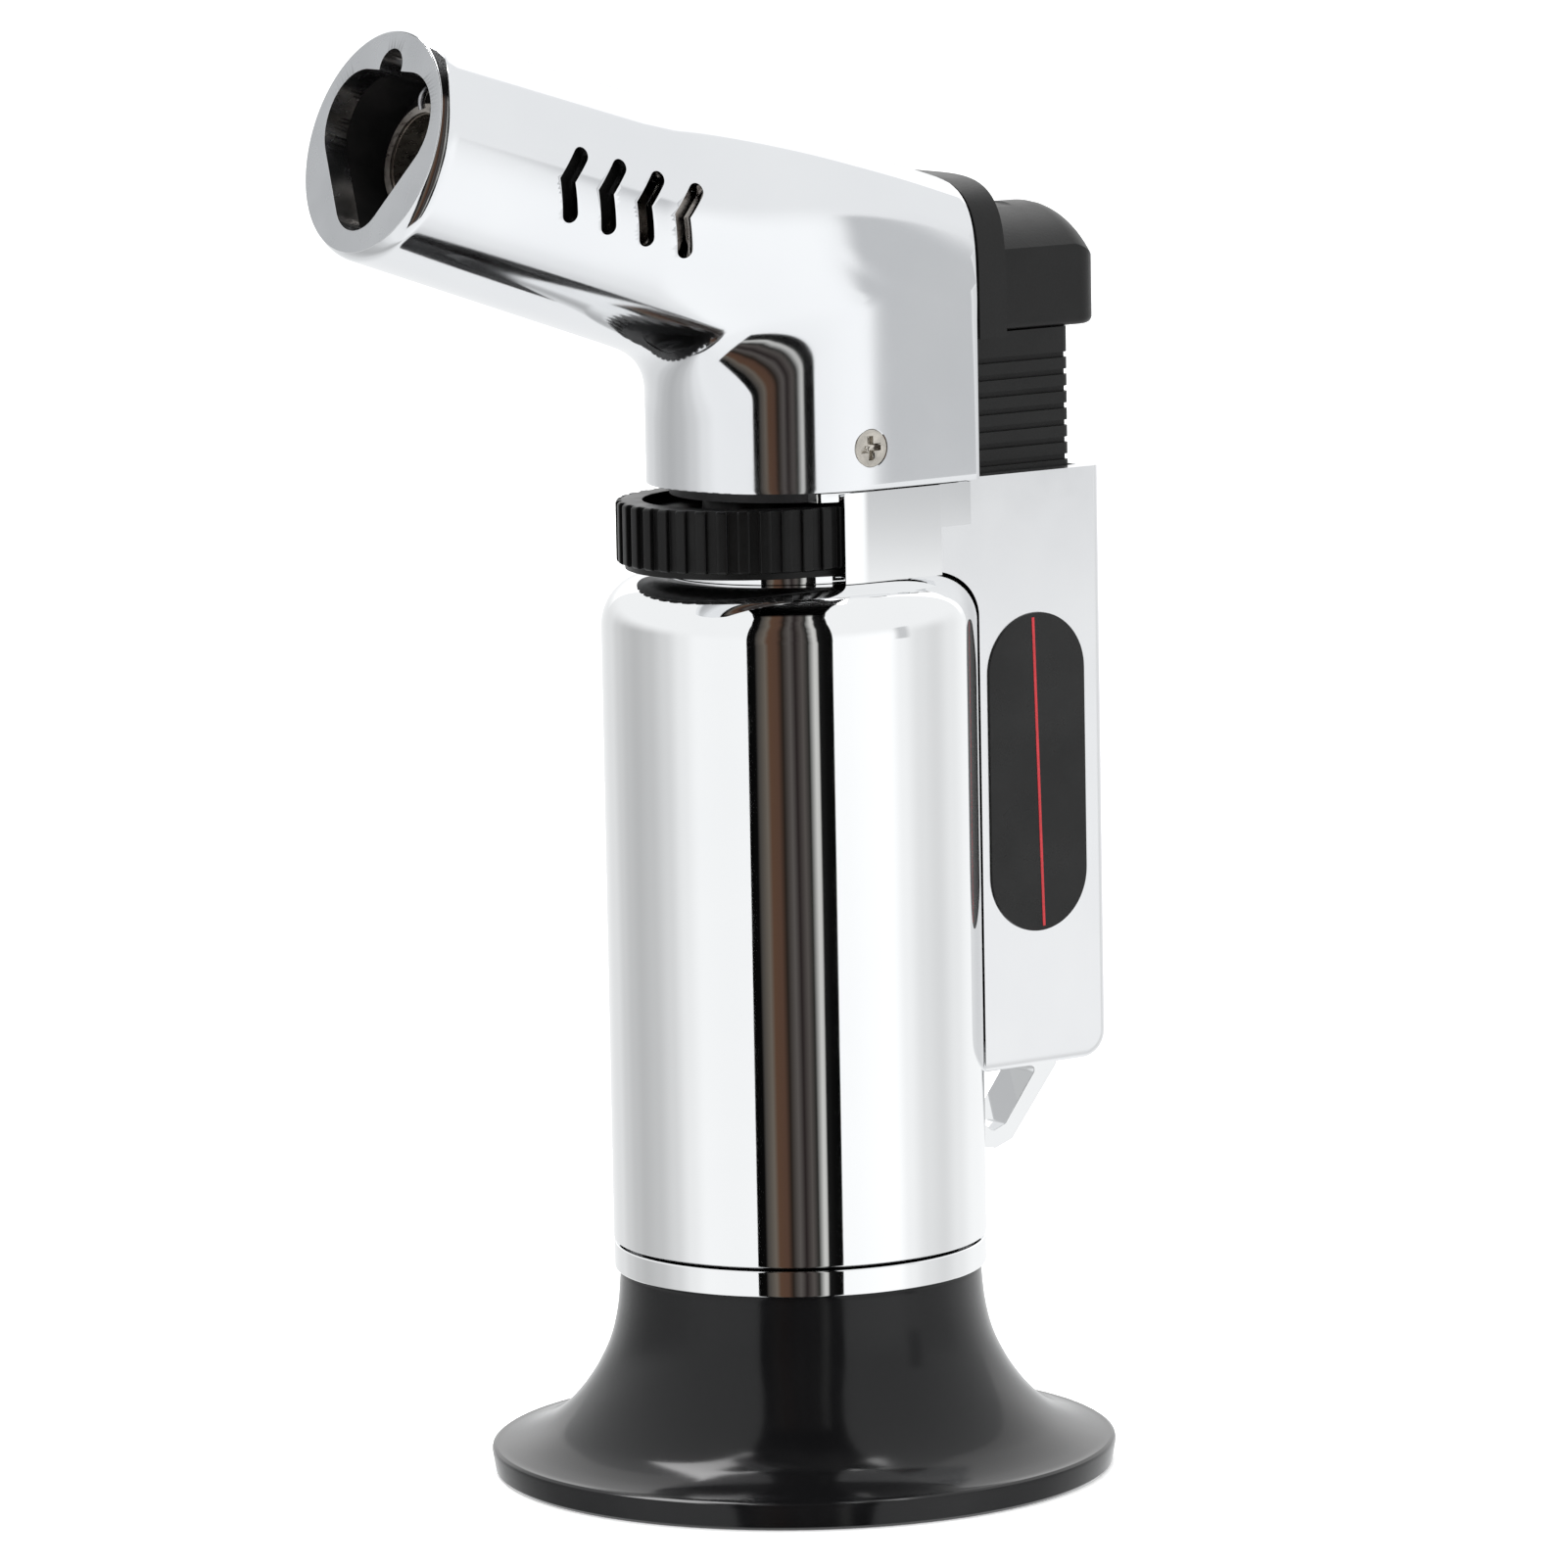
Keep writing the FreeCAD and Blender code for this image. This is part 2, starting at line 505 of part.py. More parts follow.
def trigger_pad():
    pad = box(-pad_x, pad_x, 17.0, pad_y1, pad_z0, pad_z1)
    pad = pad.makeFillet(3.0, [e for e in pad.Edges if e.BoundBox.YMin > 17.1
                               and e.BoundBox.ZMax - e.BoundBox.ZMin > 5])
    pad = pad.makeFillet(0.8, [e for e in pad.Edges if e.BoundBox.ZMax < pad_z0 + 0.01 and e.BoundBox.YMax > 18])
    crown = Part.makeCylinder(crown_r, 40, V(0, 0, pad_z1 - crown_r), V(0, 1, 0))
    crown = crown.makeFillet(4.0, [e for e in crown.Edges if e.BoundBox.YMin > 39])
    crown.translate(V(0, pad_y1 - 40, 0))
    pad = pad.common(crown.fuse(box(-20, 20, 0, 40, pad_z0 - 1, pad_side_z - 2)))
    for i in range(3):
        y = 24.0 + 4.4 * i
        pad = pad.cut(Part.makeCylinder(0.8, 30, V(-15, y, pad_z1 + 0.45), V(1, 0, 0)))
    fin = fin_outline(head_back + 0.45, 18.6)
    return pad.fuse(fin).removeSplitter().cut(box(-7.2, 7.2, 20.9, 29.8, pad_z0 - 1, 133.2))


def piezo_body():
    case = round_box(-3.4, 3.4, 21.6, 28.4, 101.5, 117.0, 0.6)
    case = case.cut(box(-3.0, 3.0, 22.0, 28.0, 103.0, 118.0))
    return case.fuse(cyl(0.9, 100.2, 102.0, 0, piezo_y))


nodes = {
    "stand_base": foot,
    "base_ring": lambda: tube(20.2, 17.45, ring_z0, ring_z1),
    "tank_shell": tank_shell,
    "fuel_tank": fuel_tank,
    "refill_valve_body": refill_valve_body,
    "refill_stem": refill_stem,
    "refill_seal": lambda: tube(2.3, 1.62, 27.25, 27.5),
    "refill_spring": lambda: spring(1.9, 0.3, 28.85, 32.45, 3.5),
    "outlet_valve_body": outlet_valve_body,
    "outlet_stem": outlet_stem,
    "outlet_seal": lambda: cyl(1.9, 88.05, 88.85, 0, valve_y),
    "outlet_spring": lambda: spring(1.9, 0.3, 90.45, 93.95, 3.5, 0, valve_y),
    "pickup_tube": lambda: tube(1.3, 0.8, 36.0, 85.95, 0, valve_y),
    "collar": collar,
    "valve_frame": valve_frame,
    "flame_dial": flame_dial,
    "valve_lever": valve_lever,
    "lever_pin": lambda: rod(0.85, lever_pivot - V(4.0, 0, 0), lever_pivot + V(4.0, 0, 0)),
    "head_shell": head_shell,
    "head_screws": lambda: Part.Compound([head_screw(-1), head_screw(1)]),
    "nozzle_face": nozzle_face,
    "nozzle_liner": nozzle_liner,
    "burner_tube": burner_tube,
    "burner_holder": burner_holder,
    "flame_gauze": flame_gauze,
    "gas_jet": gas_jet,
    "gas_hose": gas_hose,
    "electrode_insulator": electrode_insulator,
    "electrode_wire": electrode_wire,
    "spark_lead": spark_lead,
    "handle_shell": handle_shell,
    "label_plates": lambda: Part.Compound([label_plate(-1), label_plate(1)]),
    "label_stripes": lambda: Part.Compound([label_stripe(-1), label_stripe(1)]),
    "hanging_loop": hanging_loop,
    "guide_post": lambda: box(-6, 6, 22.2, 31.9, 43.95, 45.9).fuse(cyl(2.5, 45, 92.0, 0, post_y)),
    "trigger_spring": lambda: spring(3.7, 0.5, 46.0, 83.9, 12, 0, post_y),
    "trigger_slide": trigger_slide,
    "trigger_pad": trigger_pad,
    "piezo_body": piezo_body,
    "piezo_plunger": lambda: round_box(-2.94, 2.94, 22.06, 27.94, 113.3, 133.1, 0.5),
    "piezo_spring": lambda: spring(2.0, 0.35, 103.05, 113.25, 6, 0, piezo_y),
}

for name, make in nodes.items():
    make().exportStep(f"parts/{name}.step")
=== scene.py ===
import bpy
import json
import math
import numpy as np
from mathutils import Matrix, Vector


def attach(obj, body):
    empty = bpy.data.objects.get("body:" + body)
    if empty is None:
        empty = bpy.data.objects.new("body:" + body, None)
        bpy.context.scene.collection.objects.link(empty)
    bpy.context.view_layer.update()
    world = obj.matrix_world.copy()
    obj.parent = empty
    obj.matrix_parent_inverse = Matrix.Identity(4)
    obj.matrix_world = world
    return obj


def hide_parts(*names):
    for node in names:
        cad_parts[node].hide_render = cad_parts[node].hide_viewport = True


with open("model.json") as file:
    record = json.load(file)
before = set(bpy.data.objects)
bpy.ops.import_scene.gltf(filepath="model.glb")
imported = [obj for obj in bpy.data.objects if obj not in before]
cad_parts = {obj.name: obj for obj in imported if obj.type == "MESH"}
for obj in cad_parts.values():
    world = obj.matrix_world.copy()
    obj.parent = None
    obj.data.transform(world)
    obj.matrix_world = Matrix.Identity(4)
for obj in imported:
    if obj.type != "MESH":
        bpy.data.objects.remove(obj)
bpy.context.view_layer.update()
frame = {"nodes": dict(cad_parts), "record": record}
print("frame loaded")

mm = 0.001
bodyOf = {node: body for body, nodes in frame["record"]["behaviour"]["bodies"].items() for node in nodes}

# camera: where it stands, how it is turned, and its lens
view = {"place": (0.7904, -0.56504, 0.21552), "azimuth": 54.491, "elevation": 8.249, "roll": -1.054,
        "lens": 209.09}
turn, lift = math.radians(view["azimuth"]), math.radians(view["elevation"])
towardsView = Vector((math.sin(turn), -math.cos(turn), 0))
rightOfView = Vector((math.cos(turn), math.sin(turn), 0))
backward = towardsView * math.cos(lift) + Vector((0, 0, math.sin(lift)))
facing = Matrix((rightOfView, backward.cross(rightOfView), backward)).transposed()
facing = facing @ Matrix.Rotation(math.radians(view["roll"]), 3, "Z")
cameraData = bpy.data.cameras.new("productCamera")
cameraData.lens = view["lens"]
cameraData.clip_start, cameraData.clip_end = 0.05, 30
camera = bpy.data.objects.new("productCamera", cameraData)
bpy.context.scene.collection.objects.link(camera)
camera.matrix_world = Matrix.Translation(view["place"]) @ facing.to_4x4()
bpy.context.scene.camera = camera
bpy.context.scene.view_settings.view_transform = "Standard"
print("camera placed")


def clearSelection():
    if bpy.context.object and bpy.context.object.mode != "OBJECT":
        bpy.ops.object.mode_set(mode="OBJECT")
    bpy.ops.object.select_all(action="DESELECT")


def onlyThis(piece):
    clearSelection()
    piece.select_set(True)
    bpy.context.view_layer.objects.active = piece


# materials
def newMaterial(name, colour, roughness, metallic=0.0):
    material = bpy.data.materials.new(name)
    material.use_nodes = True
    shader = material.node_tree.nodes["Principled BSDF"]
    shader.inputs["Base Color"].default_value = (*colour, 1)
    shader.inputs["Roughness"].default_value = roughness
    shader.inputs["Metallic"].default_value = metallic
    return material, material.node_tree, shader


def objectPlace(tree, scale=(1, 1, 1)):
    place = tree.nodes.new("ShaderNodeTexCoord")
    mapping = tree.nodes.new("ShaderNodeMapping")
    mapping.inputs["Scale"].default_value = scale
    tree.links.new(place.outputs["Object"], mapping.inputs["Vector"])
    return mapping.outputs["Vector"]


def noise(tree, where, scale, detail=3.0, spread=0.55):
    node = tree.nodes.new("ShaderNodeTexNoise")
    node.inputs["Scale"].default_value = scale
    node.inputs["Detail"].default_value = detail
    node.inputs["Roughness"].default_value = spread
    tree.links.new(where, node.inputs["Vector"])
    return node.outputs["Fac"]


def ranged(tree, value, low, high, fromLow=0.3, fromHigh=0.7):
    node = tree.nodes.new("ShaderNodeMapRange")
    node.inputs["From Min"].default_value = fromLow
    node.inputs["From Max"].default_value = fromHigh
    node.inputs["To Min"].default_value = low
    node.inputs["To Max"].default_value = high
    tree.links.new(value, node.inputs["Value"])
    return node.outputs["Result"]


def tinted(tree, value, first, second, fromLow=0.3, fromHigh=0.7):
    ramp = tree.nodes.new("ShaderNodeValToRGB")
    ramp.color_ramp.elements[0].position = fromLow
    ramp.color_ramp.elements[0].color = (*first, 1)
    ramp.color_ramp.elements[1].position = fromHigh
    ramp.color_ramp.elements[1].color = (*second, 1)
    tree.links.new(value, ramp.inputs["Fac"])
    return ramp.outputs["Color"]


def bumped(tree, shader, height, strength, distance):
    node = tree.nodes.new("ShaderNodeBump")
    node.inputs["Strength"].default_value = strength
    node.inputs["Distance"].default_value = distance
    tree.links.new(height, node.inputs["Height"])
    tree.links.new(node.outputs["Normal"], shader.inputs["Normal"])


def surface(name, colour, second, roughness, metallic=0.0, patch=60.0, grain=900.0, bump=0.06,
            depth=0.00005, stretch=(1, 1, 1), shine=0.5):
    # slow colour change, faster change of gloss, and a fine grain in the surface itself
    material, tree, shader = newMaterial(name, colour, roughness[0], metallic)
    shader.inputs["Specular IOR Level"].default_value = shine
    where = objectPlace(tree, stretch)
    tree.links.new(tinted(tree, noise(tree, where, patch), colour, second), shader.inputs["Base Color"])
    tree.links.new(ranged(tree, noise(tree, where, patch * 3, 5), *roughness), shader.inputs["Roughness"])
    bumped(tree, shader, noise(tree, where, grain, 2), bump, depth)
    return material


chrome = surface("mirrorChrome", (0.93, 0.935, 0.94), (0.91, 0.917, 0.925), (0.025, 0.05), 1.0, 45, 160,
                 0.05, 0.00002)
headChrome = surface("headChrome", (0.84, 0.85, 0.865), (0.81, 0.82, 0.84), (0.06, 0.1), 1.0, 50, 220,
                     0.05, 0.00002)
satinChrome = surface("satinChrome", (0.9, 0.905, 0.915), (0.87, 0.875, 0.89), (0.16, 0.22), 1.0, 60,
                      1400, 0.1, 0.00002)
mouthMetal = surface("mouthMetal", (0.52, 0.53, 0.545), (0.46, 0.47, 0.485), (0.22, 0.3), 1.0, 120, 2200,
                     0.15, 0.00003)
footGloss = surface("footGloss", (0.004, 0.004, 0.0045), (0.006, 0.006, 0.0065), (0.1, 0.16), 0.0, 50,
                    700, 0.04, 0.00003, shine=0.32)
blackSatin = surface("blackSatin", (0.008, 0.008, 0.008), (0.011, 0.011, 0.011), (0.34, 0.44), 0.0, 90,
                     3200, 0.35, 0.00005, shine=0.25)
dialBlack = surface("dialBlack", (0.003, 0.003, 0.003), (0.005, 0.005, 0.005), (0.3, 0.42), 0.0, 120,
                    2600, 0.25, 0.00004, shine=0.22)
nickel = surface("nickel", (0.66, 0.62, 0.56), (0.55, 0.52, 0.47), (0.16, 0.3), 1.0, 700, 2500, 0.3,
                 0.00004)
linerDark = surface("linerDark", (0.007, 0.007, 0.007), (0.014, 0.013, 0.013), (0.45, 0.6), 0.0, 300,
                    1500, 0.3, 0.00006, shine=0.12)
gauzeSteel = surface("gauzeSteel", (0.13, 0.125, 0.11), (0.03, 0.03, 0.028), (0.3, 0.5), 1.0, 900, 2600,
                     0.6, 0.0001)
burnerSteel = surface("burnerSteel", (0.5, 0.47, 0.43), (0.34, 0.3, 0.27), (0.22, 0.42), 1.0, 260, 1800,
                      0.25, 0.00004, (1, 1, 3))
brass = surface("brass", (0.72, 0.5, 0.22), (0.62, 0.42, 0.17), (0.2, 0.34), 1.0, 400, 1500, 0.2, 0.00003)
springSteel = surface("springSteel", (0.45, 0.45, 0.46), (0.36, 0.36, 0.38), (0.22, 0.34), 1.0, 500, 2400,
                      0.2, 0.00003)
tankAlloy = surface("tankAlloy", (0.6, 0.6, 0.61), (0.52, 0.52, 0.54), (0.3, 0.45), 1.0, 80, 1500, 0.2,
                    0.00004)
paleCeramic = surface("paleCeramic", (0.8, 0.77, 0.7), (0.72, 0.68, 0.6), (0.35, 0.5), 0.0, 300, 2400,
                      0.3, 0.00005)
sealRubber = surface("sealRubber", (0.02, 0.02, 0.02), (0.035, 0.034, 0.033), (0.6, 0.75), 0.0, 500, 2600,
                     0.4, 0.00006)
hosePlastic = surface("hosePlastic", (0.55, 0.53, 0.48), (0.48, 0.46, 0.42), (0.35, 0.5), 0.0, 200, 1600,
                      0.2, 0.00004)
framePlastic = surface("framePlastic", (0.03, 0.03, 0.032), (0.045, 0.045, 0.048), (0.4, 0.55), 0.0, 150,
                       2200, 0.35, 0.00005)
leadSleeve = surface("leadSleeve", (0.3, 0.02, 0.02), (0.22, 0.015, 0.015), (0.35, 0.5), 0.0, 200, 1600,
                     0.2, 0.00004)
piezoCase = surface("piezoCase", (0.62, 0.6, 0.55), (0.55, 0.53, 0.48), (0.4, 0.5), 0.0, 150, 2000, 0.25,
                    0.00004)
labelBlack = surface("labelBlack", (0.01, 0.01, 0.01), (0.015, 0.015, 0.015), (0.25, 0.34), 0.0, 120,
                     2600, 0.1, 0.00003, shine=0.25)
labelRed = surface("labelRed", (0.5, 0.02, 0.03), (0.4, 0.015, 0.02), (0.25, 0.35), 0.0, 300, 2600, 0.1,
                   0.00003)
print("materials made")

# what each carried-over part is finished with
finishes = {
    "fuel_tank": tankAlloy, "refill_valve_body": brass, "refill_stem": brass, "refill_seal": sealRubber,
    "refill_spring": springSteel, "outlet_valve_body": brass, "outlet_stem": brass,
    "outlet_seal": sealRubber, "outlet_spring": springSteel, "pickup_tube": hosePlastic,
    "valve_frame": framePlastic, "valve_lever": framePlastic, "lever_pin": springSteel,
    "burner_tube": burnerSteel, "burner_holder": burnerSteel, "flame_gauze": gauzeSteel, "gas_jet": brass,
    "gas_hose": hosePlastic, "electrode_insulator": paleCeramic, "electrode_wire": springSteel,
    "spark_lead": leadSleeve, "guide_post": framePlastic, "trigger_spring": springSteel,
    "piezo_body": piezoCase, "piezo_plunger": framePlastic, "piezo_spring": springSteel,
    "label_stripes": labelRed,
}
for node, material in finishes.items():
    mesh = frame["nodes"][node].data
    mesh.materials.clear()
    mesh.materials.append(material)


def settled(piece, node, material, angle=30, even=True):
    # the finished piece: one material, smooth over gentle bends, riding with the body of its part
    onlyThis(piece)
    bpy.ops.object.transform_apply(location=True, rotation=True, scale=True)
    piece.data.materials.clear()
    piece.data.materials.append(material)
    bpy.ops.object.shade_smooth_by_angle(angle=math.radians(angle))
    if even:
        flats = piece.modifiers.new("flats", "WEIGHTED_NORMAL")
        flats.keep_sharp = True
        bpy.ops.object.modifier_apply(modifier="flats")
    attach(piece, bodyOf[node])
    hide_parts(node)
    return piece


def carve(piece, cutter):
    # cuts the second shape out of the first and takes it away
    onlyThis(piece)
    cut = piece.modifiers.new("cut", "BOOLEAN")
    cut.operation = "DIFFERENCE"
    cut.solver = "EXACT"
    cut.object = cutter
    bpy.ops.object.modifier_apply(modifier="cut")
    onlyThis(cutter)
    bpy.ops.object.delete()
    onlyThis(piece)


def refined(node, name, material, edge=0.0, segments=2, limit=30, angle=30):
    # a merged copy of the part, its flat faces joined and its sharp edges eased
    clearSelection()
    source = frame["nodes"][node]
    piece = bpy.data.objects.new(name, source.data.copy())
    bpy.context.scene.collection.objects.link(piece)
    onlyThis(piece)
    bpy.ops.object.mode_set(mode="EDIT")
    bpy.ops.mesh.select_all(action="SELECT")
    bpy.ops.mesh.remove_doubles(threshold=1e-6)
    bpy.ops.mesh.dissolve_limited(angle_limit=math.radians(0.4))
    bpy.ops.object.mode_set(mode="OBJECT")
    if edge:
        easing = piece.modifiers.new("easing", "BEVEL")
        easing.width = edge * mm
        easing.segments = segments
        easing.limit_method = "ANGLE"
        easing.angle_limit = math.radians(limit)
        easing.use_clamp_overlap = True
        bpy.ops.object.modifier_apply(modifier="easing")
    return settled(piece, node, material, angle)


def spun(name, outline, steps=128):
    # one point is drawn out along the outline, in millimetres, and spun round the upright axis
    clearSelection()
    bpy.ops.mesh.primitive_plane_add(size=0.001, location=(outline[0][0] * mm, 0, outline[0][1] * mm))
    piece = bpy.context.object
    piece.name = name
    bpy.ops.object.mode_set(mode="EDIT")
    bpy.ops.mesh.select_all(action="SELECT")
    bpy.ops.mesh.merge(type="CENTER")
    for (r0, z0), (r1, z1) in zip(outline, outline[1:] + outline[:1]):
        shift = ((r1 - r0) * mm, 0, (z1 - z0) * mm)
        bpy.ops.mesh.extrude_vertices_move(TRANSFORM_OT_translate={"value": shift})
    bpy.ops.mesh.select_all(action="SELECT")
    bpy.ops.mesh.spin(steps=steps, angle=2 * math.pi, center=(0, 0, 0), axis=(0, 0, 1))
    bpy.ops.mesh.select_all(action="SELECT")
    bpy.ops.mesh.remove_doubles(threshold=2e-6)
    bpy.ops.mesh.normals_make_consistent(inside=False)
    bpy.ops.object.mode_set(mode="OBJECT")
    return piece


def bend(centreR, centreZ, radius, start, end, steps):
    # points round a quarter or so of a circle, for a rounded corner in an outline
    points = []
    for i in range(steps + 1):
        a = math.radians(start + (end - start) * i / steps)
        points.append((centreR + radius * math.cos(a), centreZ + radius * math.sin(a)))
    return points


def flowing(points, steps):
    # a smooth line through the given points
    ends = [points[0]] + points + [points[-1]]
    line = []
    for a, b, c, d in zip(ends, ends[1:], ends[2:], ends[3:]):
        for i in range(steps):
            t = i / steps
            line.append(tuple(0.5 * (2 * b[k] + (c[k] - a[k]) * t
                                     + (2 * a[k] - 5 * b[k] + 4 * c[k] - d[k]) * t ** 2
                                     + (3 * b[k] - a[k] - 3 * c[k] + d[k]) * t ** 3) for k in (0, 1)))
    return line + [points[-1]]


# the flared foot: a concave flare on a thin rim, hollow underneath
foot = {"flare": [(33.55, 3.0), (32.6, 3.1), (30.8, 3.6), (28.9, 4.4), (27.2, 5.4), (25.4, 7.0), (23.7, 9.0),
                  (22.1, 11.5), (20.75, 14.5), (19.95, 18.0), (19.6, 21.9)],
        "rim": [(33.2, 0.0), (33.6, 0.35), (33.96, 2.45), (33.85, 2.8)],
        "inside": [(19.4, 22.2), (17.3, 22.2), (17.3, 26.6), (15.4, 26.6), (15.4, 24.0), (6.0, 24.0),
                   (6.0, 20.5), (17.0, 17.5), (18.6, 12.5), (21.4, 8.3), (25.6, 4.2), (30.4, 1.5),
                   (31.2, 0.0)]}
flaredFoot = spun("flared_foot", foot["rim"] + flowing(foot["flare"], 6) + foot["inside"], 144)
settled(flaredFoot, "stand_base", footGloss, 34)

# the trim ring under the tank
ring = {"outer": 20.2, "inner": 17.45, "low": 22.25, "high": 25.15, "ease": 0.22}
ringOutline = (bend(ring["outer"] - ring["ease"], ring["low"] + ring["ease"], ring["ease"], -90, 0, 4)
               + bend(ring["outer"] - ring["ease"], ring["high"] - ring["ease"], ring["ease"], 0, 90, 4)
               + [(ring["inner"], ring["high"]), (ring["inner"], ring["low"])])
settled(spun("trim_ring", ringOutline, 144), "base_ring", chrome)

# the tank's chromed skin: straight wall, rounded shoulder and a flat top with a round hole
tank = {"radius": 20.25, "low": 25.45, "top": 97.8, "round": 5.5, "hole": 11.2, "wall": 0.8,
        "innerRound": 4.7}
inside = tank["radius"] - tank["wall"]
tankOutline = ([(inside, tank["low"]), (tank["radius"] - 0.18, tank["low"])]
               + bend(tank["radius"] - 0.2, tank["low"] + 0.2, 0.2, -60, 0, 3)
               + bend(tank["radius"] - tank["round"], tank["top"] - tank["round"], tank["round"], 0, 90, 20)
               + [(tank["hole"], tank["top"]), (tank["hole"], tank["top"] - tank["wall"])]
               + bend(inside - tank["innerRound"], tank["top"] - tank["wall"] - tank["innerRound"],
                      tank["innerRound"], 90, 0, 8))
settled(spun("tank_skin", tankOutline, 160), "tank_shell", chrome, 40)

# the head: a round barrel that squares off towards the back and flows into the neck. Its sections fan out
# from the line where the plane of the mouth meets the neck's underside, and every point is found by going
# out to the surface.
head = {"tilt": 17.9, "mouth": (-51.0, 146.6), "radius": 12.5, "growth": 0.02, "front": 0.78,
        "rim": (0.72, 1.9, 2.6), "neck": 15.1, "tall": 14.6, "low": 107.75, "back": 14.55, "beyond": 22.0,
        "widening": 24, "powers": (2.0, 4.2, 2.6), "powerRun": (20, 32), "spread": 13, "draw": 0.12,
        "fillet": 9.0, "soft": 2.5, "wall": 1.2, "rows": 150, "around": 176, "easing": 0.14,
        "vents": (15.3, 4.95, 1.8), "bends": ((1.2, 3.7), (0.0, 0.8), (1.45, -2.5)),
        "screw": (0.35, 112.15, 2.15)}
tilt = math.radians(head["tilt"])
mouthY, mouthZ = head["mouth"]


def eased(first, last, share):
    share = np.clip(share, 0, 1)
    return first + (last - first) * share * share * (3 - 2 * share)


def barrelGap(x, y, z):
    # how far outside the barrel a point lies, in millimetres
    run = y - mouthY
    centre = mouthZ - run * math.tan(tilt)
    radius = head["radius"] + head["growth"] * run / math.cos(tilt)
    share = (y + head["widening"]) / head["widening"]
    wide = eased(radius, head["neck"], share)
    high = eased(radius / math.cos(tilt), head["tall"], share)
    roundPower, topPower, lowPower = head["powers"]
    powerShare = (y + head["powerRun"][0]) / head["powerRun"][1]
    squareness = np.where(z > centre, eased(roundPower, topPower, powerShare),
                          eased(roundPower, lowPower, powerShare))
    reach = (np.abs(x) / wide) ** squareness + (np.abs(z - centre) / high) ** squareness
    depth, length, turnIn = head["rim"]
    behind = head["front"] + run * math.cos(tilt) - (z - mouthZ) * math.sin(tilt)
    gap = head["spread"] * (reach ** (1 / squareness) - 1)
    return gap + depth * np.clip(1 - behind / length, 0, 1) ** turnIn


def neckGap(x, y, z):
    # the same for the neck, which draws in as it rises inside the barrel
    rise = (y - mouthY) * math.sin(tilt) + (z - mouthZ) * math.cos(tilt) + 1
    ahead = np.logaddexp(0, -y / head["soft"]) * head["soft"]
    return np.hypot(x, ahead) - head["neck"] + head["draw"] * np.maximum(rise, 0) ** 2


def headGap(x, y, z):
    # both together, with a fillet where they meet
    step = 0.02
    slopes = []
    for gap in (barrelGap, neckGap):
        here = gap(x, y, z)
        slope = np.stack([gap(x + step, y, z) - here, gap(x, y + step, z) - here, gap(x, y, z + step) - here])
        slopes.append((here, slope / np.maximum(np.sqrt((slope ** 2).sum(0)), 1e-9)))
    (barrel, outward), (neck, sideways) = slopes
    blend = head["fillet"] * (1 - (outward * sideways).sum(0)) + 1e-6
    overlap = np.maximum(blend - np.abs(barrel - neck), 0) / blend
    return np.maximum(np.minimum(barrel, neck) - overlap ** 2 * blend / 4, y - head["beyond"])


pivotY = mouthY - (mouthZ - head["low"]) * math.tan(tilt) - head["front"] / math.cos(tilt)
mouthReach = (mouthZ - head["low"]) / math.cos(tilt) + head["front"] * math.tan(tilt)
turns = np.linspace(0, math.pi / 2 - tilt, head["rows"])
turns = np.sort(np.append(turns, turns[-1] - np.radians([0.1, 0.2, 0.32, 0.6, 0.75, 1.1, 1.3])))
bearings = np.linspace(0, 2 * math.pi, head["around"], endpoint=False)
fan, bearing = np.meshgrid(turns, bearings, indexing="ij")
alongAxis = mouthReach / np.cos(math.pi / 2 - tilt - fan)
alongNeck = -pivotY / np.cos(fan)
middle = -3 * np.log(np.exp(-alongAxis / 3) + np.exp(-alongNeck / 3))


def headPoint(out):
    reach = middle + out * np.sin(bearing)
    return out * np.cos(bearing), pivotY + reach * np.cos(fan), head["low"] + reach * np.sin(fan)


near, far = np.zeros_like(fan), np.full_like(fan, 60.0)
for _ in range(34):
    half = (near + far) / 2
    outside = headGap(*headPoint(half)) > 0
    near, far = np.where(outside, near, half), np.where(outside, half, far)
points = np.stack(headPoint(far), axis=-1).reshape(-1, 3) * mm
count = head["around"]
faces = [(r * count + i, r * count + (i + 1) % count, (r + 1) * count + (i + 1) % count, (r + 1) * count + i)
         for r in range(len(turns) - 1) for i in range(count)]
headMesh = bpy.data.meshes.new("torch_head")
headMesh.from_pydata(points.tolist(), [], faces)
torchHead = bpy.data.objects.new("torch_head", headMesh)
bpy.context.scene.collection.objects.link(torchHead)
onlyThis(torchHead)
bpy.ops.object.mode_set(mode="EDIT")
bpy.ops.mesh.select_all(action="SELECT")
bpy.ops.mesh.normals_make_consistent(inside=False)
bpy.ops.mesh.bisect(plane_co=(0, head["back"] * mm, 0), plane_no=(0, 1, 0), clear_outer=True, use_fill=False,
                    threshold=1e-7)
for lowest in (True, False):
    # first the edge along the bottom of the back, then the whole back wall
    bpy.ops.mesh.select_all(action="DESELECT")
    bpy.ops.object.mode_set(mode="OBJECT")
    for vertex in torchHead.data.vertices:
        atBack = abs(vertex.co.y - head["back"] * mm) < 1e-6
        vertex.select = atBack and not (lowest and vertex.co.z > (head["low"] + 0.01) * mm)
    bpy.ops.object.mode_set(mode="EDIT")
    bpy.ops.mesh.edge_face_add()
bpy.ops.mesh.select_all(action="SELECT")
bpy.ops.mesh.normals_make_consistent(inside=False)
bpy.ops.object.mode_set(mode="OBJECT")
headWalls = torchHead.modifiers.new("walls", "SOLIDIFY")
headWalls.thickness = head["wall"] * mm
headWalls.offset = -1
headWalls.use_even_offset = True
bpy.ops.object.modifier_apply(modifier="walls")

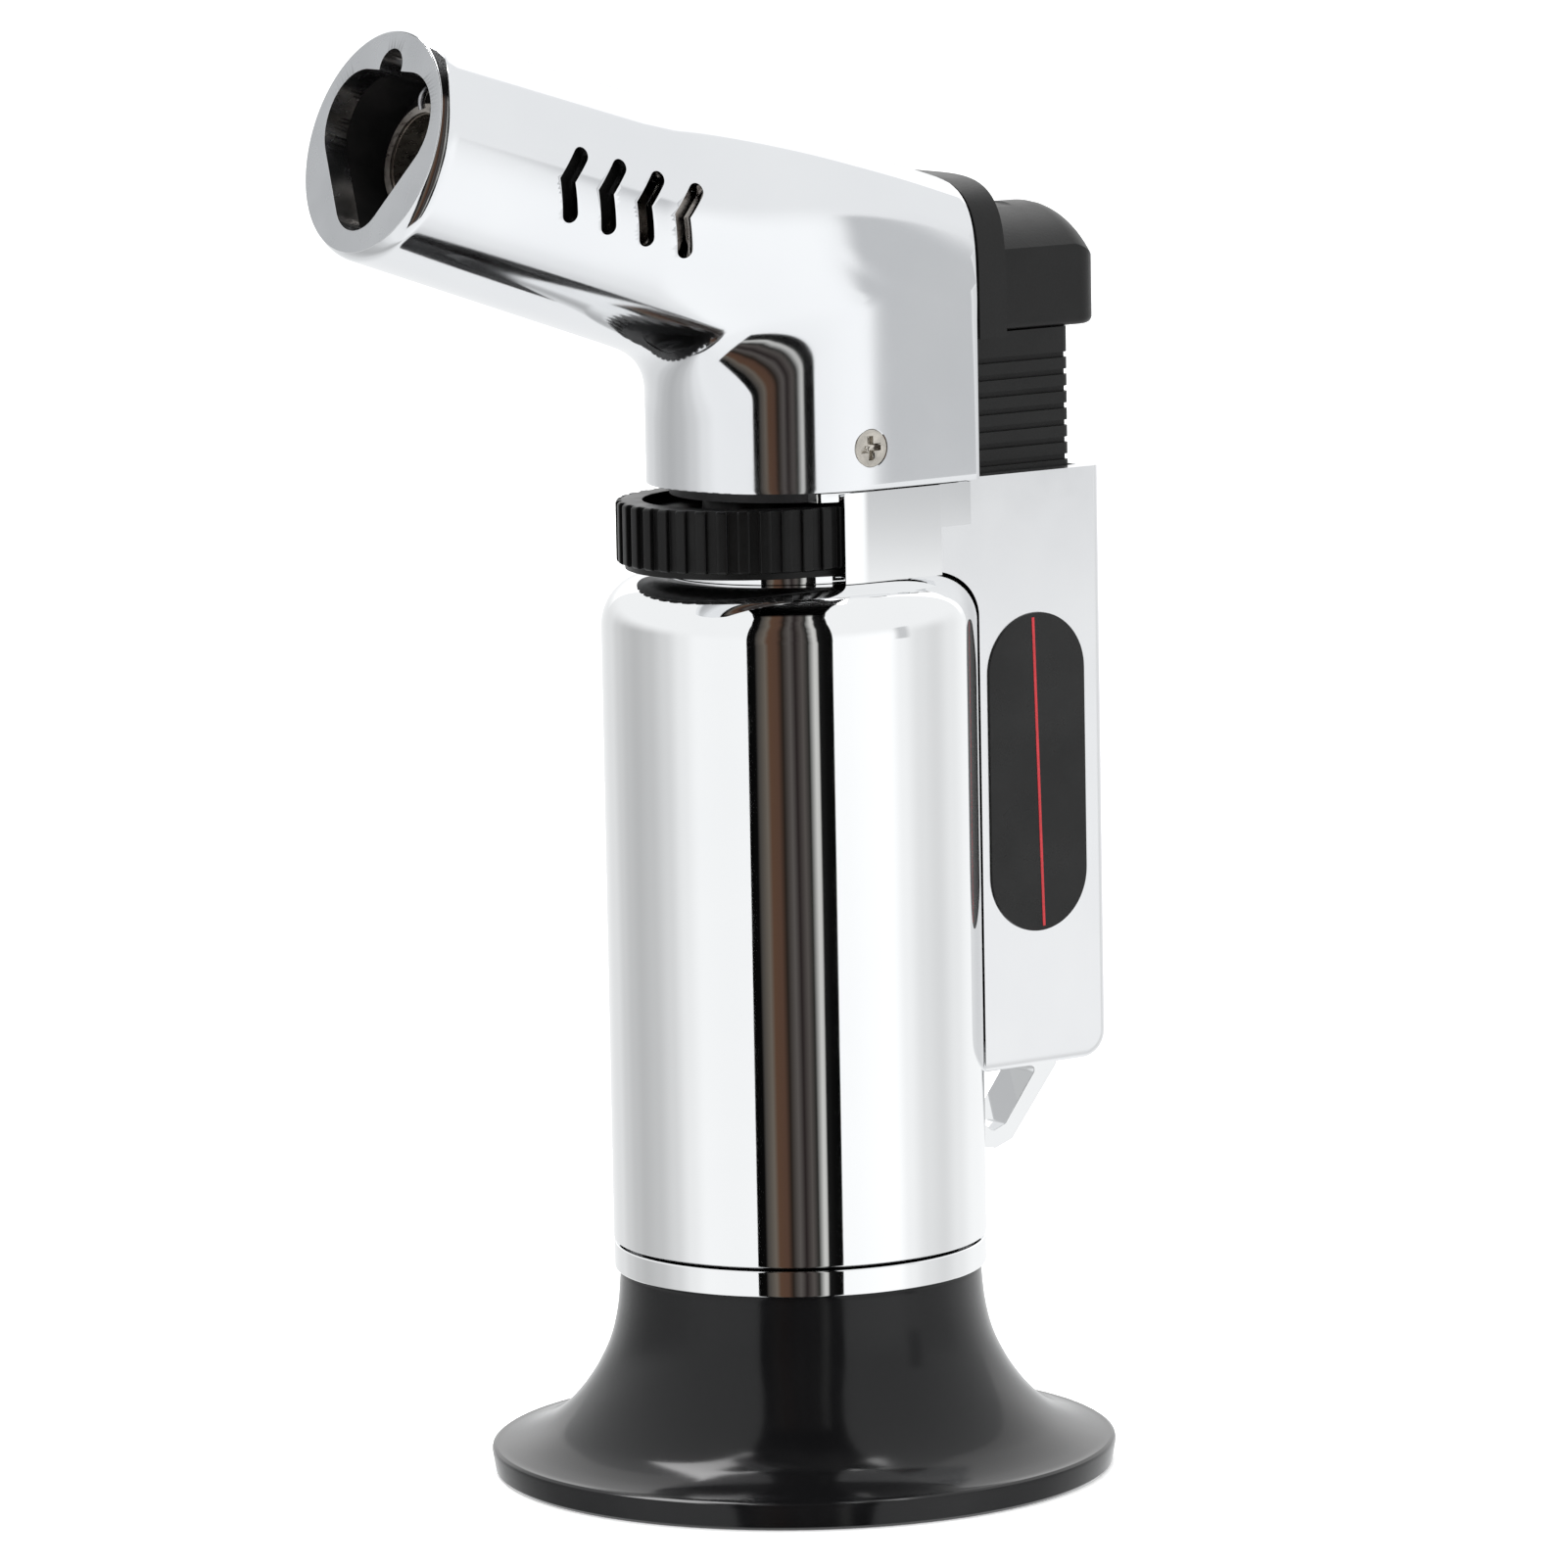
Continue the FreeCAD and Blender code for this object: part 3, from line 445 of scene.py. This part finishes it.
# its vents: slots with an elbow towards the mouth, four on each side, and the sinks for the screws
forward = Vector((0, -math.cos(tilt), math.sin(tilt)))
upward = Vector((0, math.sin(tilt), math.cos(tilt)))
mouthCentre = Vector((0, mouthY, mouthZ)) * mm
firstVent, ventPitch, ventWidth = head["vents"]
for side in (-1, 1):
    for number in range(4):
        elbow = [Vector((-(firstVent + number * ventPitch + step), up)) for step, up in head["bends"]]
        outline = []
        for a, b, c in ((elbow[0], elbow[0], elbow[1]), tuple(elbow), (elbow[1], elbow[2], elbow[2]),
                        (elbow[2], elbow[2], elbow[1]), tuple(elbow[::-1]), (elbow[1], elbow[0], elbow[0])):
            before, after = (b - a), (c - b)
            if a == b or b == c:
                run = (after if a == b else before).normalized()
                aside = Vector((-run.y, run.x))
                lean = -1 if a == b else 1
                for degrees in (range(90, -1, -15) if a == b else range(0, 91, 15)):
                    t = math.radians(degrees)
                    outline.append(b + (aside * math.cos(t) + run * lean * math.sin(t)) * ventWidth / 2)
            else:
                before, after = before.normalized(), after.normalized()
                aside = (Vector((-before.y, before.x)) + Vector((-after.y, after.x))).normalized()
                stretch = 1 / aside.dot(Vector((-before.y, before.x)))
                outline.append(b + aside * stretch * ventWidth / 2)
        start = mouthCentre + Vector((side * 5 * mm, 0, 0))
        spots = [start + (forward * p.x + upward * p.y) * mm for p in outline]
        spots = [p for i, p in enumerate(spots) if (p - spots[i - 1]).length > 1e-6]
        ventMesh = bpy.data.meshes.new("vent")
        ventMesh.from_pydata([tuple(p) for p in spots], [], [range(len(spots))])
        vent = bpy.data.objects.new("vent", ventMesh)
        bpy.context.scene.collection.objects.link(vent)
        onlyThis(vent)
        bpy.ops.object.mode_set(mode="EDIT")
        bpy.ops.mesh.select_all(action="SELECT")
        bpy.ops.mesh.extrude_region_move(TRANSFORM_OT_translate={"value": (side * 15 * mm, 0, 0)})
        bpy.ops.mesh.select_all(action="SELECT")
        bpy.ops.mesh.normals_make_consistent(inside=False)
        bpy.ops.object.mode_set(mode="OBJECT")
        carve(torchHead, vent)
    screwY, screwZ, sinkRadius = head["screw"]
    clearSelection()
    sinkX = side * (head["neck"] + 1 - sinkRadius / 2)
    bpy.ops.mesh.primitive_cone_add(vertices=48, radius1=1.0 * mm, radius2=(sinkRadius + 1) * mm,
                                    depth=sinkRadius * mm, rotation=(0, side * math.pi / 2, 0),
                                    location=(sinkX * mm, screwY * mm, screwZ * mm))
    carve(torchHead, bpy.context.object)
onlyThis(torchHead)
rims = torchHead.modifiers.new("rims", "BEVEL")
rims.width = head["easing"] * mm
rims.segments = 2
rims.limit_method = "ANGLE"
rims.angle_limit = math.radians(50)
bpy.ops.object.modifier_apply(modifier="rims")
settled(torchHead, "head_shell", headChrome, 38, even=False)
print("head made")

# collar, dial and screws keep the frame's shape with eased edges; the screws get a cross recess
refined("collar", "dial_collar", chrome, 0.15)
refined("flame_dial", "knurled_dial", dialBlack, 0.12)
screws = refined("head_screws", "cross_screws", nickel, 0.06)
recess = {"reach": 1.5, "point": 0.3, "depth": 0.9, "thin": 0.34, "turn": 20, "sunk": 0.5}
for side in (-1, 1):
    for quarter in (0, 90):
        clearSelection()
        bpy.ops.mesh.primitive_cone_add(vertices=4, radius1=recess["point"] * mm,
                                        radius2=recess["reach"] * mm, depth=recess["depth"] * mm)
        blade = bpy.context.object
        blade.scale = (1, recess["thin"], 1)
        bpy.ops.object.transform_apply(scale=True)
        spin = (Matrix.Rotation(side * math.pi / 2, 4, "Y")
                @ Matrix.Rotation(math.radians(recess["turn"] + quarter), 4, "Z"))
        bladeX = side * (head["neck"] - recess["sunk"])
        blade.matrix_world = Matrix.Translation((bladeX * mm, screwY * mm, screwZ * mm)) @ spin
        carve(screws, blade)
bpy.ops.object.shade_smooth_by_angle(angle=math.radians(30))

# the mouth plate: a flat ring with a shield-shaped opening, pushed into the end of the barrel
plate = {"flat": 11.78, "plug": 10.1, "seat": 0.78, "front": 0.86, "edge": 0.1,
         "lobes": ((3.95, 2.05, 5.6), (-3.95, 2.05, 5.6), (0.0, -4.9, 4.55)), "notch": (7.95, 2.05)}
mouthPlate = spun("mouth_plate", [(1, -2), (plate["plug"], -2), (plate["plug"], plate["seat"]),
                                  (plate["flat"], plate["seat"]), (plate["flat"], plate["front"]),
                                  (1, plate["front"])], 144)
shield = []
for step in range(120):
    out = Vector((math.cos(step * math.pi / 60), math.sin(step * math.pi / 60)))
    reaches = (Vector(lobe[:2]) + out * lobe[2] for lobe in plate["lobes"])
    shield.append(max(reaches, key=lambda p: p.dot(out)))
shieldMesh = bpy.data.meshes.new("shield")
shieldMesh.from_pydata([(p.x * mm, p.y * mm, -4 * mm) for p in shield], [], [range(len(shield))])
shieldCutter = bpy.data.objects.new("shield", shieldMesh)
bpy.context.scene.collection.objects.link(shieldCutter)
onlyThis(shieldCutter)
bpy.ops.object.mode_set(mode="EDIT")
bpy.ops.mesh.select_all(action="SELECT")
bpy.ops.mesh.extrude_region_move(TRANSFORM_OT_translate={"value": (0, 0, 7 * mm)})
bpy.ops.mesh.select_all(action="SELECT")
bpy.ops.mesh.normals_make_consistent(inside=False)
bpy.ops.object.mode_set(mode="OBJECT")
carve(mouthPlate, shieldCutter)
clearSelection()
bpy.ops.mesh.primitive_cylinder_add(vertices=48, radius=plate["notch"][1] * mm, depth=7 * mm,
                                    location=(0, plate["notch"][0] * mm, 0))
carve(mouthPlate, bpy.context.object)
onlyThis(mouthPlate)
bpy.ops.object.transform_apply(location=True)
mouthPlate.matrix_world = (Matrix.Translation(mouthCentre)
                           @ Matrix(((1, 0, 0), tuple(upward), tuple(forward))).transposed().to_4x4())
easing = mouthPlate.modifiers.new("easing", "BEVEL")
easing.width = plate["edge"] * mm
easing.segments = 2
easing.limit_method = "ANGLE"
easing.angle_limit = math.radians(40)
bpy.ops.object.modifier_apply(modifier="easing")
settled(mouthPlate, "nozzle_face", mouthMetal)
mouthPlate.data.materials.append(chrome)
for face in mouthPlate.data.polygons:
    face.material_index = 1 if 0.15 < face.normal.dot(forward) < 0.95 else 0

# the liner, handle, labels and loop also keep the frame's shape
refined("nozzle_liner", "mouth_liner", linerDark, 0.1)
refined("handle_shell", "handle_case", satinChrome, 0.25, 3)
refined("label_plates", "side_labels", labelBlack, 0.08)
refined("hanging_loop", "wire_loop", chrome, 0.3, 3)

# the trigger's column: the outer edges of its ribs are rounded
ribbedSlide = refined("trigger_slide", "ribbed_slide", blackSatin)
slideMesh = ribbedSlide.data
sides = {}
for face in slideMesh.polygons:
    for key in face.edge_keys:
        sides.setdefault(key, []).append(face)
weights = slideMesh.attributes.new("bevel_weight_edge", "FLOAT", "EDGE")
for edge in slideMesh.edges:
    around = sides[tuple(sorted(edge.vertices))]
    for flank, level in (around, around[::-1]) if len(around) == 2 else ():
        if abs(level.normal.z) < 0.9 or abs(flank.normal.z) > 0.1:
            continue
        corners = list(level.vertices)
        a, b = edge.vertices
        if corners[(corners.index(a) + 1) % len(corners)] != b:
            a, b = b, a
        inwards = level.normal.cross(slideMesh.vertices[b].co - slideMesh.vertices[a].co)
        if inwards.dot(flank.normal) < 0:
            weights.data[edge.index].value = 1
scallops = ribbedSlide.modifiers.new("scallops", "BEVEL")
scallops.width = 0.42 * mm
scallops.segments = 4
scallops.limit_method = "WEIGHT"
onlyThis(ribbedSlide)
bpy.ops.object.modifier_apply(modifier="scallops")
bpy.ops.object.shade_smooth_by_angle(angle=math.radians(32))
refined("trigger_pad", "thumb_pad", blackSatin, 0.25, 3)
print("pieces made")

# stage: a pale floor, pale surroundings whose brightness changes round the object, and a dark opening
stage = {"floor": 8.0, "floorGlow": 0.35, "boxSize": 0.9, "boxPlace": (-0.3, 0.1), "boxHeight": 1.3,
         "boxAim": 0.08, "boxPower": 20}
clearSelection()
bpy.ops.mesh.primitive_plane_add(size=stage["floor"], location=(0, 0, 0))
floor = bpy.context.object
floor.name = "paleFloor"
floorMaterial, floorTree, floorShader = newMaterial("floorWhite", (0.9, 0.9, 0.9), 0.9)
floorPatches = noise(floorTree, objectPlace(floorTree), 3)
floorTree.links.new(tinted(floorTree, floorPatches, (0.9, 0.9, 0.9), (0.92, 0.92, 0.92)),
                    floorShader.inputs["Base Color"])
floorShader.inputs["Emission Color"].default_value = (1, 1, 1, 1)
floorShader.inputs["Emission Strength"].default_value = stage["floorGlow"]
floor.data.materials.append(floorMaterial)
floor.visible_glossy = False

world = bpy.data.worlds.new("studio")
bpy.context.scene.world = world
world.use_nodes = True
sky = world.node_tree
background = sky.nodes["Background"]
direction = sky.nodes.new("ShaderNodeTexCoord").outputs["Generated"]


def skyMath(operation, first, second):
    node = sky.nodes.new("ShaderNodeMath")
    node.operation = operation
    for socket, value in zip(node.inputs, (first, second)):
        if isinstance(value, float):
            socket.default_value = value
        else:
            sky.links.new(value, socket)
    return node.outputs["Value"]


def along(axis):
    node = sky.nodes.new("ShaderNodeVectorMath")
    node.operation = "DOT_PRODUCT"
    sky.links.new(direction, node.inputs[0])
    node.inputs[1].default_value = axis
    return node.outputs["Value"]


def cooled(level):
    # a grey of this brightness, very slightly blue
    return level * 0.985, level * 0.995, level, 1


# brightness round the object, by the angle from the camera's side, in degrees
surround = [(-180, 0.98), (-142, 0.78), (-130, 0.65), (-120, 0.567), (-110, 0.52), (-96, 0.573),
            (-82, 0.708), (-70, 0.885), (-58, 0.99), (-40, 0.98), (26, 1.05), (62, 1.12), (72, 0.963),
            (86, 0.81), (100, 0.746),
            (116, 0.868), (136, 0.99), (160, 1.0), (180, 0.98)]
heading = skyMath("ARCTAN2", along(rightOfView), along(towardsView))
heading = skyMath("ADD", skyMath("DIVIDE", heading, 2 * math.pi), 0.5)
ramp = sky.nodes.new("ShaderNodeValToRGB")
ramp.color_ramp.interpolation = "EASE"
while len(ramp.color_ramp.elements) < len(surround):
    ramp.color_ramp.elements.new(0.5)
for stop, (angle, level) in zip(ramp.color_ramp.elements, surround):
    stop.position = (angle + 180) / 360
    stop.color = cooled(level)
sky.links.new(heading, ramp.inputs["Fac"])

# above the table's level the walls are even, and the wall behind the object is lit brighter
backdrop = {"even": 0.95, "bright": 1.3, "edge": 131, "far": 205, "rise": (0.02, 0.3), "top": 0.81,
            "fade": 0.03}
walls = sky.nodes.new("ShaderNodeValToRGB")
walls.color_ramp.interpolation = "CONSTANT"
walls.color_ramp.elements[0].color = (backdrop["bright"],) * 3 + (1,)
walls.color_ramp.elements[1].position = (backdrop["far"] - 180) / 360
walls.color_ramp.elements[1].color = cooled(backdrop["even"])
again = walls.color_ramp.elements.new((backdrop["edge"] + 180) / 360)
again.color = (backdrop["bright"],) * 3 + (1,)
sky.links.new(heading, walls.inputs["Fac"])
raised = sky.nodes.new("ShaderNodeMapRange")
raised.interpolation_type = "SMOOTHSTEP"
raised.inputs["From Min"].default_value = backdrop["rise"][0]
raised.inputs["From Max"].default_value = backdrop["rise"][1]
sky.links.new(along((0, 0, 1)), raised.inputs["Value"])
overhead = sky.nodes.new("ShaderNodeMapRange")
overhead.inputs["From Min"].default_value = backdrop["top"]
overhead.inputs["From Max"].default_value = backdrop["top"] + backdrop["fade"]
sky.links.new(along((0, 0, 1)), overhead.inputs["Value"])
ceiling = sky.nodes.new("ShaderNodeMix")
ceiling.data_type = "RGBA"
sky.links.new(overhead.outputs["Result"], ceiling.inputs["Factor"])
sky.links.new(walls.outputs["Color"], ceiling.inputs["A"])
ceiling.inputs["B"].default_value = cooled(backdrop["even"])
upper = sky.nodes.new("ShaderNodeMix")
upper.data_type = "RGBA"
sky.links.new(raised.outputs["Result"], upper.inputs["Factor"])
sky.links.new(ramp.outputs["Color"], upper.inputs["A"])
sky.links.new(ceiling.outputs["Result"], upper.inputs["B"])
white = sky.nodes.new("ShaderNodeMix")
white.data_type = "RGBA"
white.inputs["B"].default_value = (1, 1, 1, 1)
sky.links.new(sky.nodes.new("ShaderNodeLightPath").outputs["Is Camera Ray"], white.inputs["Factor"])
sky.links.new(upper.outputs["Result"], white.inputs["A"])
sky.links.new(white.outputs["Result"], background.inputs["Color"])

# the dark opening: a band that stands behind the camera and bends over the object
opening = {"halfWidth": 0.27, "wobble": 0.05, "streaks": (-0.245, 0.295), "black": (0.86, 0.8),
           "path": [(0.56, -0.9), (0.56, 0.55), (0.5, 0.78), (0.36, 0.93), (0.15, 1.0), (-0.29, 1.0)]}
clearSelection()
first = opening["path"][0]
bandStart = towardsView * first[0] + Vector((0, 0, first[1])) - rightOfView * opening["halfWidth"]
bpy.ops.mesh.primitive_plane_add(size=0.001, location=bandStart)
band = bpy.context.object
band.name = "darkOpening"
bpy.ops.object.mode_set(mode="EDIT")
bpy.ops.mesh.select_all(action="SELECT")
bpy.ops.mesh.merge(type="CENTER")
for (c0, z0), (c1, z1) in zip(opening["path"], opening["path"][1:]):
    shift = towardsView * (c1 - c0) + Vector((0, 0, z1 - z0))
    bpy.ops.mesh.extrude_vertices_move(TRANSFORM_OT_translate={"value": shift})
bpy.ops.mesh.select_all(action="SELECT")
bpy.ops.mesh.extrude_region_move(TRANSFORM_OT_translate={"value": rightOfView * 2 * opening["halfWidth"]})
bpy.ops.object.mode_set(mode="OBJECT")
bpy.ops.object.transform_apply(location=True)
bandMaterial = bpy.data.materials.new("openingStreaks")
bandMaterial.use_nodes = True
bandTree = bandMaterial.node_tree
bandTree.nodes.clear()
glow = bandTree.nodes.new("ShaderNodeEmission")
output = bandTree.nodes.new("ShaderNodeOutputMaterial")
bandTree.links.new(glow.outputs["Emission"], output.inputs["Surface"])
place = bandTree.nodes.new("ShaderNodeTexCoord")
across = bandTree.nodes.new("ShaderNodeVectorMath")
across.operation = "DOT_PRODUCT"
across.inputs[1].default_value = rightOfView
bandTree.links.new(place.outputs["Object"], across.inputs[0])
wobble = noise(bandTree, place.outputs["Object"], 3.5, 2)
shifted = bandTree.nodes.new("ShaderNodeMath")
shifted.operation = "MULTIPLY_ADD"
shifted.inputs[1].default_value = opening["wobble"]
bandTree.links.new(wobble, shifted.inputs[0])
bandTree.links.new(across.outputs["Value"], shifted.inputs[2])
width = bandTree.nodes.new("ShaderNodeMapRange")
width.inputs["From Min"].default_value, width.inputs["From Max"].default_value = opening["streaks"]
bandTree.links.new(shifted.outputs["Value"], width.inputs["Value"])
streaks = bandTree.nodes.new("ShaderNodeValToRGB")
tones = [(0.0, (0.002,) * 3), (0.1, (0.003,) * 3), (0.13, (0.06, 0.055, 0.05)),
         (0.22, (0.14, 0.12, 0.1)), (0.27, (0.1, 0.055, 0.035)), (0.36, (0.09, 0.05, 0.035)),
         (0.42, (0.02, 0.015, 0.012)), (0.5, (0.1, 0.09, 0.085)), (0.56, (0.02, 0.015, 0.015)),
         (0.64, (0.09, 0.08, 0.075)), (0.7, (0.02, 0.02, 0.018)), (0.77, (0.6, 0.6, 0.58)),
         (0.8, (0.55, 0.55, 0.53)), (0.82, (0.01, 0.01, 0.01)), (0.9, (0.004,) * 3), (1.0, (0.002,) * 3)]
while len(streaks.color_ramp.elements) < len(tones):
    streaks.color_ramp.elements.new(0.5)
for stop, (position, colour) in zip(streaks.color_ramp.elements, tones):
    stop.position = position
    stop.color = (*colour, 1)
bandTree.links.new(width.outputs["Result"], streaks.inputs["Fac"])
bandTree.links.new(streaks.outputs["Color"], glow.inputs["Color"])
# high up the opening is plain black
heights = bandTree.nodes.new("ShaderNodeSeparateXYZ")
bandTree.links.new(place.outputs["Object"], heights.inputs["Vector"])
fadeOut = bandTree.nodes.new("ShaderNodeMapRange")
fadeOut.inputs["From Min"].default_value, fadeOut.inputs["From Max"].default_value = opening["black"]
bandTree.links.new(heights.outputs["Z"], fadeOut.inputs["Value"])
bandTree.links.new(fadeOut.outputs["Result"], glow.inputs["Strength"])
band.data.materials.append(bandMaterial)
band.visible_camera = False
band.visible_diffuse = False
band.visible_shadow = False

# a soft-edged grey flag low at the right, which only the flat side of the head looks at
flag = {"tone": 0.62, "colour": (0.97, 0.985, 1, 1), "place": (0.411, 0.302, 0.13), "size": (0.13, 0.2),
        "facing": (0.8142, 0.5806, 0), "soft": (0.4, 0.12)}
clearSelection()
bpy.ops.mesh.primitive_plane_add(size=1, location=flag["place"])
sideFlag = bpy.context.object
sideFlag.name = "sideFlag"
sideFlag.scale = (*flag["size"], 1)
sideFlag.rotation_euler = Vector(flag["facing"]).to_track_quat("Z", "Y").to_euler()
flagMaterial = bpy.data.materials.new("flagGrey")
flagMaterial.use_nodes = True
flagTree = flagMaterial.node_tree
flagTree.nodes.clear()
apart = flagTree.nodes.new("ShaderNodeSeparateXYZ")
flagTree.links.new(flagTree.nodes.new("ShaderNodeTexCoord").outputs["Object"], apart.inputs["Vector"])
cover = flagTree.nodes.new("ShaderNodeMath")
cover.operation = "MULTIPLY"
for socket, axis, soft in zip(cover.inputs, "XY", flag["soft"]):
    size = flagTree.nodes.new("ShaderNodeMath")
    size.operation = "ABSOLUTE"
    flagTree.links.new(apart.outputs[axis], size.inputs[0])
    fade = flagTree.nodes.new("ShaderNodeMapRange")
    fade.interpolation_type = "SMOOTHSTEP"
    fade.inputs["From Min"].default_value = 0.5
    fade.inputs["From Max"].default_value = 0.5 - soft
    flagTree.links.new(size.outputs["Value"], fade.inputs["Value"])
    flagTree.links.new(fade.outputs["Result"], socket)
flagGlow = flagTree.nodes.new("ShaderNodeEmission")
flagGlow.inputs["Color"].default_value = flag["colour"]
flagGlow.inputs["Strength"].default_value = flag["tone"]
through = flagTree.nodes.new("ShaderNodeMixShader")
flagTree.links.new(cover.outputs["Value"], through.inputs["Fac"])
flagTree.links.new(flagTree.nodes.new("ShaderNodeBsdfTransparent").outputs["BSDF"], through.inputs[1])
flagTree.links.new(flagGlow.outputs["Emission"], through.inputs[2])
flagOutput = flagTree.nodes.new("ShaderNodeOutputMaterial")
flagTree.links.new(through.outputs["Shader"], flagOutput.inputs["Surface"])
sideFlag.data.materials.append(flagMaterial)
sideFlag.visible_camera = False
sideFlag.visible_diffuse = False
sideFlag.visible_shadow = False

# one soft box overhead
lampData = bpy.data.lights.new("topSoftbox", "AREA")
lampData.shape = "RECTANGLE"
lampData.size, lampData.size_y = stage["boxSize"], stage["boxSize"]
lampData.energy = stage["boxPower"]
lamp = bpy.data.objects.new("topSoftbox", lampData)
bpy.context.scene.collection.objects.link(lamp)
lamp.location = (*stage["boxPlace"], stage["boxHeight"])
boxFacing = Vector((*stage["boxPlace"], stage["boxHeight"] - stage["boxAim"]))
lamp.rotation_euler = boxFacing.to_track_quat("Z", "Y").to_euler()
print("stage set")
